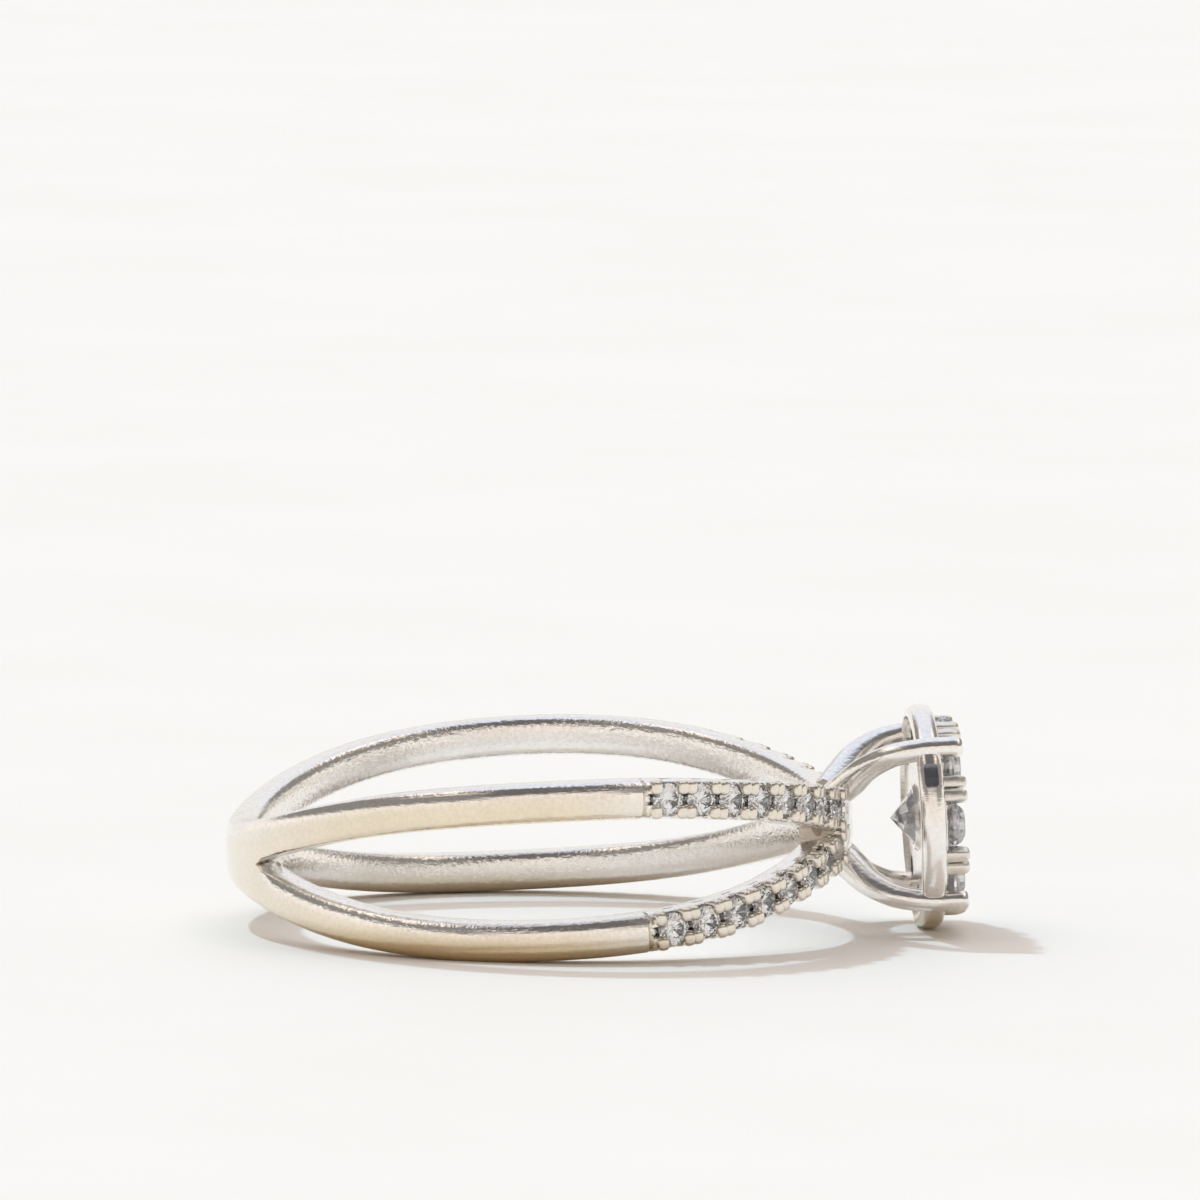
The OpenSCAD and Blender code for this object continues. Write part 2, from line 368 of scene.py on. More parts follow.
# Share of the painted reflection of the warm floor: outside, not facing up, in the ring's back half
def floor_reflection_share(graph, coords):
    outside = graph.map_range(ring_distance(graph, coords), *FLOOR_REFLECTION_OUTSIDE)
    normal = graph.nodes.new("ShaderNodeNewGeometry").outputs["Normal"]
    facing = graph.map_range(graph.along(normal, "Z"), *FLOOR_REFLECTION_FACING)
    x = graph.along(coords, "X")
    front = graph.map_range(x, *FLOOR_REFLECTION_FRONT)
    back = graph.map_range(x, *FLOOR_REFLECTION_BACK)
    return graph.calculate("MULTIPLY", graph.calculate("MULTIPLY", outside, facing),
                           graph.calculate("MULTIPLY", front, back))


def white_metal(name, tint, rough, wear, floor_reflection_tint=None):
    """Polished white metal with fine scratches and grain, with painted shade near the ground. With a warm
    tint it is also nicked, and the tint paints the warm floor's reflection where the outside doesn't face
    up."""
    material, graph, shader = new_material(name)
    coords = graph.coordinates("Object")
    broad = graph.noise(coords, *BROAD_NOISE)
    fine = graph.noise(graph.mapping(coords, FINE_STRETCH), *FINE_NOISE)
    grain = graph.noise(coords, *GRAIN_NOISE)
    layers = [(broad, *BROAD_BUMP), (fine, *FINE_BUMP), (grain, *GRAIN_BUMP)]
    colour = graph.ramp(broad, shades(tint))
    if floor_reflection_tint:
        # painted reflection of the warm floor, where the outside doesn't face up
        floor_reflection = graph.ramp(broad, shades(floor_reflection_tint))
        colour = graph.mix(floor_reflection_share(graph, coords), colour, floor_reflection)
        edge = graph.map_range(ring_distance(graph, coords), *NICK_EDGE)
        nicks = graph.calculate("MULTIPLY", edge, graph.noise(coords, *NICK_NOISE))
        layers.append((nicks, *NICK_BUMP))
    speckles = graph.ramp(graph.noise(coords, *SPECKLE_NOISE), SPECKLE_STOPS)
    colour = graph.mix(1.0, colour, speckles, "MULTIPLY")
    # painted shade, darker towards the ground
    low = graph.map_range(graph.along(coords, "Z"), *GROUND_SHADE_HEIGHT)
    colour = graph.mix(low, colour, GROUND_SHADE_TINT, "MULTIPLY")
    roughness = graph.ramp(fine, [(0.35, grey(rough)), (0.75, grey(rough + wear))])
    graph.feed(shader.inputs["Base Color"], colour)
    graph.feed(shader.inputs["Roughness"], roughness)
    graph.feed(shader.inputs["Normal"], graph.bumps(layers))
    graph.feed(shader.inputs["Metallic"], 1.0)
    return material


STONE_CLOUD = (900.0, 2.0)
STONE_IOR = 2.2


def clear_stone(name, tint, rough, clear):
    material, graph, shader = new_material(name)
    cloud = graph.noise(graph.coordinates("Object"), *STONE_CLOUD)
    graph.feed(shader.inputs["Base Color"], graph.ramp(cloud, shades(tint)))
    graph.feed(shader.inputs["Roughness"], rough)
    graph.feed(shader.inputs["IOR"], STONE_IOR)
    graph.feed(shader.inputs["Transmission Weight"], clear)
    return material


# The band's last colour is painted on: the warm floor's reflection on its outside
BAND_METAL = white_metal("band_metal", (0.96, 0.94, 0.92), 0.07, 0.10, (0.91, 0.80, 0.63))
HEAD_METAL = white_metal("head_metal", (0.98, 0.955, 0.93), 0.11, 0.14)
BEAD_METAL = white_metal("bead_metal", (0.88, 0.83, 0.75), 0.16, 0.12)
# Dark brown metal painted as the shade in the valley of the fork beside the head
FORK_SHADE_METAL = white_metal("fork_shade_metal", (0.60, 0.52, 0.45), 0.26, 0.2)
CLAW_METAL = white_metal("claw_metal", (0.90, 0.87, 0.82), 0.27, 0.14)
# Dark metal painted as the shade inside the gallery's windows
WINDOW_SHADE_METAL = white_metal("window_shade_metal", (0.26, 0.28, 0.33), 0.3, 0.2)
HEAD_STONE = clear_stone("head_stone", (0.89, 0.89, 0.90), 0.06, 0.83)
SMALL_STONE = clear_stone("small_stone", (0.97, 0.975, 0.985), 0.0, 0.98)

# Strands. Across their faces, points lie at shares of the half width. Levels are measured out from the
# finger's side, and the outer face stays just inside the solids' own.
FACE = STRAND_T - 0.004
CROWN = 0.07
EDGE_POINTS = np.array([0.965, 0.985, 0.996])
OUTER = np.concatenate([[-1.0], -EDGE_POINTS[::-1], np.linspace(-0.94, 0.94, 29), EDGE_POINTS, [1.0]])
EDGE_DEPTH = 0.38
UPPER_EDGE_POWER = 2.6
LOWER_EDGE_POWER = UPPER_EDGE_POWER + 0.8
WALL_INSET = 0.01
INNER_HALF = np.array([0.985, 0.95, 0.9, 0.8, 0.65, 0.45, 0.22, 0.0])
INNER = np.concatenate([INNER_HALF, -INNER_HALF[-2::-1]])
INNER_DEPTH = 0.36
INNER_POWER = 2.6
INNER_LEVEL = 0.2
WALL_LEVELS = (0.66, 0.53, INNER_DEPTH)
FINE_START, FINE_END, FINE_STEP = 19, 76, 0.25

# Fork at the back: the angle at which the outer faces meet, how much later the inner faces do, and over
# how many degrees the strands close in and their edges in the fork lose their rounding
FORK_ANGLE = 160.2
FORK_SLOPE = 4.3
FORK_BLEND = 2.5
FORK_FLAT = 8
FORK_OVERLAP = 0.02
# Past the ring's middle line a strand sinks into the other one
SINK_FROM = 120
SINK_SLOPE = 0.4
SINK_REACH = 0.5

# Cuts for the small stones: a lowered deck, round seats, scallops at the strand's edges, a channel from
# stone to stone, and a groove across the end. A pair says from where to where a cut changes. Nearer the
# head than SCALLOP_BOTH_FROM degrees, only the edge away from the other strand is scalloped.
DECK = 0.05
DECK_FADE = 0.2
PAVE_SEAT_R = PAVE_D / 2 + 0.02
PAVE_SEAT_FADE = 0.045
PAVE_SEAT_DEPTH = 0.2
PAVE_SEAT_SLOPE = 0.86
SCALLOP_DEPTH = 0.17
SCALLOP_ACROSS = (0.3, 0.46)
SCALLOP_ALONG = (0.12, 0.33)
SCALLOP_BOTH_FROM = 29
CHANNEL_DEPTH = 0.34
CHANNEL_ACROSS = (0.09, 0.2)
CHANNEL_REACH = 0.75
GROOVE_ANGLE = PAVE_START + (PAVE_COUNT - 0.3) * PAVE_PITCH
GROOVE_DEPTH = 0.2
GROOVE_ALONG = (0.1, 0.42)


def near_head(angle, limits):
    """1 on the near side beside the head and 0 further round and on the far side."""
    return smooth(np.cos(np.radians(angle)), *limits) * smooth(-angle, -NEAR_BLEND, NEAR_BLEND)


def rise(angle, side):
    """How much higher the near strands run beside the head."""
    return (RISE_UPPER if side > 0 else RISE_LOWER) * near_head(angle, RISE_RANGE)


def half_width(angle, side):
    """Half of a strand's width."""
    half = width(angle) / 2 - WALL_INSET
    if side < 0:
        half = half - SLIMMER * near_head(angle, SLIM_RANGE)
    return half


def fork_fill(angle, side, out):
    """How far the strands reach towards each other at the back, so that they close the fork there."""
    a = np.abs(angle)
    vertex = FORK_ANGLE + FORK_SLOPE * (1 - out / STRAND_T)
    gap = offset(angle) / np.cos(lean(angle, side)) - width(a) / 2 + FORK_OVERLAP
    return np.maximum(0, gap) * smooth(a, vertex - FORK_BLEND, vertex)


def outer_level(v):
    """Level of the outer face at a share v of the half width."""
    power = np.where(v > 0, UPPER_EDGE_POWER, LOWER_EDGE_POWER)
    edge = (1 - np.minimum(np.abs(v), 1) ** power) ** (1 / power)
    return FACE - CROWN * v * v - EDGE_DEPTH * (1 - edge)


def strand_point(angle, side, out, across):
    """Point of a strand: out from the finger's side, and across the strand's own line."""
    a = np.radians(angle)
    t = lean(angle, side)
    r = FINGER_R + out
    return np.stack([r * np.cos(a) + across * np.sin(t) * np.sin(a),
                     r * np.sin(a) - across * np.sin(t) * np.cos(a),
                     side * offset(angle) + rise(angle, side) + across * np.cos(t)], -1)


def surface_frame(angle, side):
    """Place on a strand's outer face and the directions along it, across it and out of it."""
    a = math.radians(angle)
    t = float(lean(angle, side))
    height = side * float(offset(angle)) + float(rise(angle, side))
    origin = np.array([BAND_R * math.cos(a), BAND_R * math.sin(a), height])
    out = np.array([math.cos(a), math.sin(a), 0])
    across = np.array([math.sin(t) * math.sin(a), -math.sin(t) * math.cos(a), math.cos(t)])
    return origin, np.cross(across, out), across, out


def stone_frame(way, side, i):
    """The surface's frame at the small stone i of a row; way is -1 on the near side."""
    return surface_frame(way * (PAVE_START + i * PAVE_PITCH), side)


def pave_cut(points, angle, side, way):
    """How deep the outer face is cut at each point for a row of small stones."""
    inside = 1 - smooth(angle, GROOVE_ANGLE - DECK_FADE, GROOVE_ANGLE + DECK_FADE)
    cut = DECK * inside
    nearest = np.full(points.shape[:2], np.inf)
    off_line = np.zeros(points.shape[:2])
    for i in range(PAVE_COUNT):
        origin, along, across = stone_frame(way, side, i)[:3]
        u, t = (points - origin) @ along, (points - origin) @ across
        r = np.hypot(u, t)
        cone = PAVE_SEAT_DEPTH + PAVE_SEAT_SLOPE * np.maximum(0, PAVE_SEAT_R - r)
        seat = cone * (1 - smooth(r, PAVE_SEAT_R, PAVE_SEAT_R + PAVE_SEAT_FADE))
        open_edge = (side * t > 0) | (angle > SCALLOP_BOTH_FROM)
        scallop = (SCALLOP_DEPTH * smooth(np.abs(t), *SCALLOP_ACROSS)
                   * (1 - smooth(np.abs(u), *SCALLOP_ALONG)) * open_edge)
        cut = np.maximum(cut, np.maximum(seat, scallop))
        closer = np.abs(u) < np.abs(nearest)
        nearest = np.where(closer, u, nearest)
        off_line = np.where(closer, t, off_line)
    reach = inside * (np.abs(nearest) < CHANNEL_REACH)
    channel = CHANNEL_DEPTH * (1 - smooth(np.abs(off_line), *CHANNEL_ACROSS)) * reach
    groove = GROOVE_DEPTH * (1 - smooth(np.abs(angle - GROOVE_ANGLE), *GROOVE_ALONG))
    return np.maximum(np.maximum(cut, channel), groove)


def strand_angles():
    """Angles round the ring, closer together where the small stones are."""
    fine = np.arange(FINE_START, FINE_END + FINE_STEP / 2, FINE_STEP)
    coarse = np.concatenate([np.arange(0, FINE_START, 1.0), np.arange(FINE_END + 1, 181, 1.0)])
    half = np.unique(np.concatenate([fine, coarse]))
    return np.concatenate([-half[1:-1][::-1], half])


def outer_face(angles, side):
    """Rows of points across the outer face."""
    filled = fork_fill(angles, side, STRAND_T)
    middle = -side * filled / 2
    reach = half_width(angles, side) + filled / 2
    across = middle[:, None] + reach[:, None] * OUTER[None, :]
    level = np.tile(outer_level(OUTER), (len(angles), 1))
    flat = smooth(np.abs(angles), FORK_ANGLE - FORK_FLAT, FORK_ANGLE)[:, None] * (side * OUTER < 0)
    level += flat * (FACE - level)
    past = np.minimum(0, offset(angles)[:, None] + side * across * np.cos(lean(angles, side))[:, None])
    level += SINK_SLOPE * np.maximum(past, -SINK_REACH) * (np.abs(angles) > SINK_FROM)[:, None]
    face = strand_point(angles[:, None], side, level, across)
    for way in (-1, 1):
        rows = (angles * way > 0) & (np.abs(angles) < FINE_END)
        level[rows] -= pave_cut(face[rows], np.abs(angles[rows])[:, None], side, way)
    return strand_point(angles[:, None], side, level, across)


def side_wall(angles, side, edge):
    """Lines of points round the ring, down the wall at one edge."""
    lines = []
    for out in WALL_LEVELS:
        reach = half_width(angles, side)
        if edge * side < 0:
            reach = reach + fork_fill(angles, side, out)
        lines.append(strand_point(angles, side, np.full(len(angles), out), edge * reach))
    return lines


def inner_face(angles, side):
    """Lines of points round the ring, across the inner face."""
    filled = fork_fill(angles, side, INNER_LEVEL)
    lines = []
    for v in INNER:
        out = INNER_DEPTH * (1 - (1 - abs(v) ** INNER_POWER) ** (1 / INNER_POWER))
        across = -side * filled / 2 + v * (half_width(angles, side) + filled / 2)
        lines.append(strand_point(angles, side, np.full(len(angles), out), across))
    return lines


def strand(shape, side):
    angles = strand_angles()
    lines = side_wall(angles, side, 1) + inner_face(angles, side) + side_wall(angles, side, -1)[::-1]
    shape.loft(np.concatenate([outer_face(angles, side), np.stack(lines, 1)], 1), closed=True)


# Webs in the forks: reach to both sides in degrees, and pairs of (share of the reach, level of the top)
BACK_WEB_REACH = 18
BACK_WEB_TOPS = [(0, 1.1), (1, 1.1)]
HEAD_WEB_REACH = 26
HEAD_WEB_TOPS = [(0, 1.12), (0.66, 1.1), (0.86, 0.86), (0.97, 0.72), (1, 0.62)]
HEAD_WEB_END = 0.16
HEAD_WEB_BOW = 3.0
WEB_RINGS = 49
WEB_POINTS = 13
WEB_SHARE = 0.9
WEB_OVERLAP = 0.04
WEB_UNDER = 0.06
WEB_END_FROM = 0.6
WEB_BOW_Z = 0.3
WEB_CROWN = 0.02


def web(shape, middle, reach, tops, end_under=WEB_UNDER, bow=0.0):
    """Fills a fork; end_under is the underside's level at both ends, and beside the middle line the ends
    reach further by bow degrees."""
    rings = []
    for share in np.linspace(-1, 1, WEB_RINGS):
        h = float(spread(middle + share * reach)) * WEB_SHARE + WEB_OVERLAP
        top = np.interp(abs(share), [t[0] for t in tops], [t[1] for t in tops])
        z = np.concatenate([np.linspace(-h, h, WEB_POINTS), np.linspace(h, -h, WEB_POINTS)])
        a = np.radians(middle + share * reach + share ** 5 * bow * np.minimum(1, (z / WEB_BOW_Z) ** 2))
        under = WEB_UNDER + (end_under - WEB_UNDER) * float(smooth(abs(share), WEB_END_FROM, 1))
        crown = WEB_CROWN * np.linspace(-1, 1, WEB_POINTS) ** 2
        r = FINGER_R + np.concatenate([np.full(WEB_POINTS, under), top - crown])
        rings.append(np.stack([r * np.cos(a), r * np.sin(a), z], 1))
    shape.loft(rings)


band = Shape()
for side in (1, -1):
    strand(band, side)
web(band, 180, BACK_WEB_REACH, BACK_WEB_TOPS)
piece("band", band, BAND_METAL, METAL_CREASE, ["ring_body"])
# The head's web is painted dark as the shade in its valley
fork = Shape()
web(fork, 0, HEAD_WEB_REACH, HEAD_WEB_TOPS, HEAD_WEB_END, HEAD_WEB_BOW)
piece("head_fork", fork, FORK_SHADE_METAL, METAL_CREASE, ["ring_body"])

# Beads beside the small stones: half length, half width and height, and the angle in degrees from the
# middle of a pair to each. Near and far ones have their own distance from the edge and depth in the face.
BEAD_LENGTH, BEAD_WIDTH, BEAD_HEIGHT = 0.20, 0.225, 0.16
BEAD_FOOT = 0.28
BEAD_TURN = 0.85
BEAD_SIDES = 20
BEAD_RINGS = 6
BEAD_POWER = 2.6
BEAD_DOME_POWER = 0.42
BEAD_TOP_ANGLE = 84
NEAR_BEADS = (0.015, 0.09)
FAR_BEADS = (0.085, 0.13)


def rounded(angle, power):
    """Point of a square with rounded corners; power 2 gives a circle."""
    c, s = math.cos(angle), math.sin(angle)
    return math.copysign(abs(c) ** (2 / power), c), math.copysign(abs(s) ** (2 / power), s)


def round_angles(sides):
    return np.radians(np.arange(sides) * 360 / sides)


def bead(shape, centre, along, across, out):
    rings = []
    for k in range(-1, BEAD_RINGS + 1):
        b = math.radians(BEAD_TOP_ANGLE * max(0, k) / BEAD_RINGS)
        share = math.cos(b) ** BEAD_DOME_POWER
        level = BEAD_HEIGHT * math.sin(b) if k >= 0 else -BEAD_FOOT
        ring = []
        for g in round_angles(BEAD_SIDES):
            c, s = rounded(g, BEAD_POWER)
            ring.append(centre + share * (BEAD_LENGTH * c * along + BEAD_WIDTH * s * across) + level * out)
        rings.append(ring)
    shape.loft(rings)


def bead_row(shape, way, side):
    """Pairs of beads between the stones, at both edges, with half a pair at either end of the row."""
    inset, depth = NEAR_BEADS if way < 0 else FAR_BEADS
    for i in range(PAVE_COUNT + 1):
        middle = PAVE_START + (i - 0.5) * PAVE_PITCH
        for edge in (-1, 1):
            for half in (-1, 1):
                if (i == 0 and half < 0) or (i == PAVE_COUNT and half > 0):
                    continue
                angle = way * (middle + half * BEAD_TURN)
                origin, along, across, out = surface_frame(angle, side)
                place = float(half_width(angle, side)) - BEAD_WIDTH - inset
                bead(shape, origin + across * edge * place - out * depth, along, across, out)


beads = Shape()
for way in (-1, 1):
    for side in (1, -1):
        bead_row(beads, way, side)
piece("stone_beads", beads, BEAD_METAL, BEAD_CREASE)

# Stones
STAR_SHARE = 0.53
LOWER_SHARE = 0.25
HALF_FACET = 22.5
STONE_TURN = 11.25
STONE_TURNS = 3


def ring_points(count, radius, height, turn):
    a = np.radians(np.arange(count) * 360 / count + turn)
    return np.stack([radius * np.cos(a), radius * np.sin(a), np.full(count, height)], 1)


def brilliant(d):
    """Points and faces of a round brilliant with its girdle's upper edge at height 0."""
    r = d / 2
    table_r = r * TABLE_SHARE
    star_r = STAR_SHARE * (r + table_r)
    lower_r = LOWER_SHARE * r
    crown_h, girdle_h, pavilion_h = d * CROWN_SHARE, d * GIRDLE_SHARE, d * PAVILION_SHARE
    turn = math.cos(math.radians(HALF_FACET))
    star_h = crown_h * (r - star_r * turn) / (r - table_r)
    lower_h = girdle_h + pavilion_h * (1 - lower_r * turn / r)
    points = np.concatenate([
        ring_points(8, table_r, crown_h, 0), ring_points(8, star_r, star_h, HALF_FACET),
        ring_points(16, r, 0, 0), ring_points(16, r, -girdle_h, 0),
        ring_points(8, lower_r, -lower_h, HALF_FACET), [[0, 0, -girdle_h - pavilion_h]]])
    star, upper, lower, deep, culet = 8, 16, 32, 48, 56
    faces = [tuple(range(8))]
    for k in range(8):
        last, g = (k + 7) % 8, 2 * k
        faces += [
            (k, (k + 1) % 8, star + k), (k, star + k, upper + g), (k, upper + g, star + last),
            (star + k, upper + g + 1, upper + g), (star + k, upper + (g + 2) % 16, upper + g + 1),
            (deep + k, lower + g, lower + g + 1), (deep + k, lower + g + 1, lower + (g + 2) % 16),
            (culet, deep + last, lower + g), (culet, lower + g, deep + k)]
    for k in range(16):
        faces.append((upper + k, upper + (k + 1) % 16, lower + (k + 1) % 16, lower + k))
    return points, faces


def stone_row(shape, way, side):
    """The small stones of one row, each turned a little from its neighbour."""
    points, faces = brilliant(PAVE_D)
    for i in range(PAVE_COUNT):
        origin, along, across, out = stone_frame(way, side, i)
        turn = math.radians(STONE_TURN * (i % STONE_TURNS))
        x_axis = along * math.cos(turn) + across * math.sin(turn)
        y_axis = np.cross(out, x_axis)
        base = origin - out * (PAVE_SINK + PAVE_D * CROWN_SHARE)
        shape.add(base + points @ np.stack([x_axis, y_axis, out]), faces)


for way, way_name in ((-1, "near"), (1, "far")):
    for side, side_name in ((1, "upper"), (-1, "lower")):
        row = Shape()
        stone_row(row, way, side)
        name = "%s_%s" % (way_name, side_name)
        piece("small_stones_" + name, row, SMALL_STONE, STONE_CREASE, ["pave_" + name])

for name in ["centre_stone"] + ["side_stone_%d" % (i + 1) for i in range(SIDE_COUNT)]:
    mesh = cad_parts[name].data
    mesh.materials.clear()
    mesh.materials.append(HEAD_STONE)

# Gallery: a rounded rim, a seat plate in it, and a hollow under the plate round a low hub
RIM_ROUND = 0.32
RIM_POINTS = 15
RIM_LEVEL_POWER = 0.9
RIM_ROUND_POWER = 0.8
RIM_BACK_R = 3.18
HOLLOW_R = 3.08
HOLLOW_DEPTH = 0.13
HUB_R = 1.0
HUB_DEPTH = 0.04
HUB_FOOT_R = 1.1
HUB_FOOT_DEPTH = 0.15
SEAT_EDGE = 0.02
GALLERY_STEPS = 120

# Cutters: the stones' rooms, the holes under the side stones, and the windows. Dark blocks behind the
# windows are painted shade: they stand for the shadowed inside.
ROOM_SIDES = 32
CENTRE_ROOM_SIDES = 64
ROOM_UNDER = 0.05
ROOM_POINT_R = 0.01
ROOM_OVER = 0.2
HOLE_SIDES = 18
HOLE_ENDS = (GALLERY_X - 0.3, GALLERY_TOP + 0.1)
WINDOW_SIDES = 32
WINDOW_SIZE = (0.44, 0.78, 2.0)
WINDOW_POWER = 5.0
SHADE_BLOCK_SIZE = (0.5, 0.9, 0.7)
SHADE_BLOCK_POWER = 9.0
SHADE_BLOCK_R = GALLERY_R - 0.53


def turned(x, y, z, turn):
    """Point at level x, with y and z turned round the head's axis by an angle in degrees."""
    a = math.radians(turn)
    return (x, y * math.cos(a) - z * math.sin(a), y * math.sin(a) + z * math.cos(a))


def circle(x, radius, away, turn, sides):
    """Points round a line that runs beside the head's axis."""
    return [turned(x, radius * math.sin(g), away + radius * math.cos(g), turn) for g in round_angles(sides)]


def gallery_profile():
    """Closed section of the gallery, as points of (level, distance from the head's axis)."""
    outer = []
    for b in np.linspace(-90, 90, RIM_POINTS):
        s, c = math.sin(math.radians(b)), math.cos(math.radians(b))
        outer.append((GALLERY_X + GALLERY_H / 2 * (1 + math.copysign(abs(s) ** RIM_LEVEL_POWER, s)),
                      GALLERY_R - RIM_ROUND + RIM_ROUND * c ** RIM_ROUND_POWER))
    back = [(GALLERY_X + HUB_DEPTH, CULET_HOLE_R), (GALLERY_X + HUB_DEPTH, HUB_R),
            (GALLERY_X + HUB_FOOT_DEPTH, HUB_FOOT_R), (GALLERY_X + HOLLOW_DEPTH, HOLLOW_R),
            (GALLERY_X, RIM_BACK_R)]
    front = [(GALLERY_TOP, SEAT_R), (SEAT_TOP, SEAT_R - SEAT_EDGE), (SEAT_TOP, CULET_HOLE_R)]
    return back + outer + front


def revolve(shape, profile, steps):
    """Ring turned round the head's axis from a closed profile of (level, distance from it)."""
    rings = []
    for k in range(steps):
        rings.append([turned(level, 0, radius, 360 * k / steps) for level, radius in profile])
    shape.loft(rings, closed=True)


def stone_room(shape, level, d, away, turn, girdle=GIRDLE_SHARE, sides=ROOM_SIDES):
    """Cutter for a stone's seat: its girdle, crown and pavilion with the gap round them."""
    r = d / 2 + STONE_GAP
    stations = [(level - d * (girdle + PAVILION_SHARE) - ROOM_UNDER, ROOM_POINT_R), (level - d * girdle, r),
                (level + d * CROWN_SHARE + ROOM_OVER, r)]
    shape.loft([circle(x, radius, away, turn, sides) for x, radius in stations])


def window_block(shape, radius, size, turn, power):
    """Block with rounded corners in the middle of the gallery's wall; radius is its middle's distance from
    the head's axis."""
    rings = []
    for z in (radius - size[2] / 2, radius + size[2] / 2):
        ring = []
        for g in round_angles(WINDOW_SIDES):
            c, s = rounded(g, power)
            ring.append(turned(GALLERY_X + GALLERY_H / 2 + size[0] / 2 * c, size[1] / 2 * s, z, turn))
        rings.append(ring)
    shape.loft(rings)


def cut_away(shape, cutters):
    """The shape less each cutter."""
    obj = add_object("cut_work", build_mesh("cut_work", shape, Matrix.Identity(4)))
    tools = []
    for cutter in cutters:
        tool = add_object("cut_tool", build_mesh("cut_tool", cutter, Matrix.Identity(4)))
        modifier = obj.modifiers.new("cut", "BOOLEAN")
        modifier.operation = "DIFFERENCE"
        modifier.solver = "EXACT"
        modifier.object = tool
        tools.append(tool)
    bpy.context.view_layer.update()
    done = obj.evaluated_get(bpy.context.evaluated_depsgraph_get()).to_mesh()
    result = Shape()
    result.add([tuple(v.co) for v in done.vertices], [tuple(p.vertices) for p in done.polygons])
    for gone in tools + [obj]:
        bpy.data.objects.remove(gone)
    return result


gallery = Shape()
revolve(gallery, gallery_profile(), GALLERY_STEPS)
centre_room = Shape()
stone_room(centre_room, TABLE_X - CENTRE_D * CROWN_SHARE, CENTRE_D, 0, 0, sides=CENTRE_ROOM_SIDES)
side_rooms = Shape()
under_holes = Shape()
for i in range(SIDE_COUNT):
    turn = i * 360 / SIDE_COUNT
    stone_room(side_rooms, TABLE_X - SIDE_D * SIDE_CROWN_SHARE, SIDE_D, SIDE_RING_R, turn, SIDE_GIRDLE_SHARE)
    under_holes.loft([circle(x, UNDER_HOLE_R, SIDE_RING_R, turn, HOLE_SIDES) for x in HOLE_ENDS])
windows = Shape()
window_shades = Shape()
for turn in (90 - WINDOW_TURN, 270 - WINDOW_TURN):
    window_block(windows, GALLERY_R, WINDOW_SIZE, turn, WINDOW_POWER)
    window_block(window_shades, SHADE_BLOCK_R, SHADE_BLOCK_SIZE, turn, SHADE_BLOCK_POWER)
gallery = cut_away(gallery, [centre_room, side_rooms, under_holes, windows])
piece("gallery", gallery, HEAD_METAL, GALLERY_CREASE)
# the dark blocks paint the shade inside the windows
piece("gallery_window_shades", window_shades, WINDOW_SHADE_METAL, GALLERY_CREASE)

# Arms: sections along the path, a foot a little wider than the tip, and a rounded tip
ARM_RINGS = 57
ARM_SIDES = 32
ARM_POWER = 2.35
ARM_STEP = 0.02
ARM_FOOT_WIDER = 0.04
ARM_TIP_ANGLES = (15, 30, 45, 60, 72, 82, 88)
ARM_TIP_LEVEL_POWER = 0.8
ARM_TIP_ROUND_POWER = 0.6


def arm_at(u):
    """Smooth curve through the arm's path; u counts its points."""
    i = min(int(math.floor(u)), len(ARM_PATH) - 1)
    t = u - i
    a, b, c, d = [np.array(ARM_PATH[max(0, min(len(ARM_PATH) - 1, i + k))]) for k in (-1, 0, 1, 2)]
    return 0.5 * (2 * b + (c - a) * t + (2 * a - 5 * b + 4 * c - d) * t * t
                  + (3 * b - a - 3 * c + d) * t ** 3)


def arm_ring(level, radius, way, deep, wide, turn):
    """Section across an arm that runs in the direction way, in radians from the head's axis."""
    ring = []
    for g in round_angles(ARM_SIDES):
        c, s = rounded(g, ARM_POWER)
        x = level - deep / 2 * c * math.sin(way)
        z = radius + deep / 2 * c * math.cos(way)
        ring.append(turned(x, wide / 2 * s, z, turn))
    return ring


def arm(shape, turn):
    rings = []
    last = len(ARM_PATH) - 1
    for u in np.linspace(0, last, ARM_RINGS):
        level, radius, deep = arm_at(u)
        step = arm_at(min(u + ARM_STEP, last)) - arm_at(max(u - ARM_STEP, 0))
        wide = ARM_D + ARM_FOOT_WIDER * (last - u) / last
        rings.append(arm_ring(level, radius, math.atan2(step[1], step[0]), deep, wide, turn))
    level, radius = ARM_PATH[-1][:2]
    for b in np.radians(ARM_TIP_ANGLES):
        size = ARM_D * math.cos(b) ** ARM_TIP_ROUND_POWER
        tip = level + ARM_D / 2 * math.sin(b) ** ARM_TIP_LEVEL_POWER
        rings.append(arm_ring(tip, radius, 0, size, size, turn))
    shape.loft(rings)


arms = Shape()
for turn in ARM_TURNS:
    arm(arms, turn)
piece("claw_arms", arms, HEAD_METAL, METAL_CREASE)

# Split claws: stations of (level, share of the full size), and a lump that differs with the level, the
# claw and its half
CLAW_TIP = TIP_X - 0.09
CLAW_STATIONS = [
    (GALLERY_TOP - 0.2, 1), (GALLERY_TOP, 1), (CLAW_TIP - 0.6, 1), (CLAW_TIP - 0.5, 1), (CLAW_TIP - 0.4, 1),
    (CLAW_TIP - 0.32, 0.99), (CLAW_TIP - 0.24, 0.97), (CLAW_TIP - 0.16, 0.92), (CLAW_TIP - 0.09, 0.84),
    (CLAW_TIP - 0.03, 0.7), (CLAW_TIP, 0.45)]
CLAW_RADIUS = CLAW_W / 2 - 0.02
CLAW_DEEPER = 0.05
CLAW_PLACE_R = CLAW_RING_R - 0.04
CLAW_SIDES = 24
CLAW_POWER = 3.4
SLIT_HALF = 0.014
LUMP = 0.03
LUMP_FROM = GALLERY_TOP + 0.1
LUMP_PHASES = (11, 2.3, 1.7)


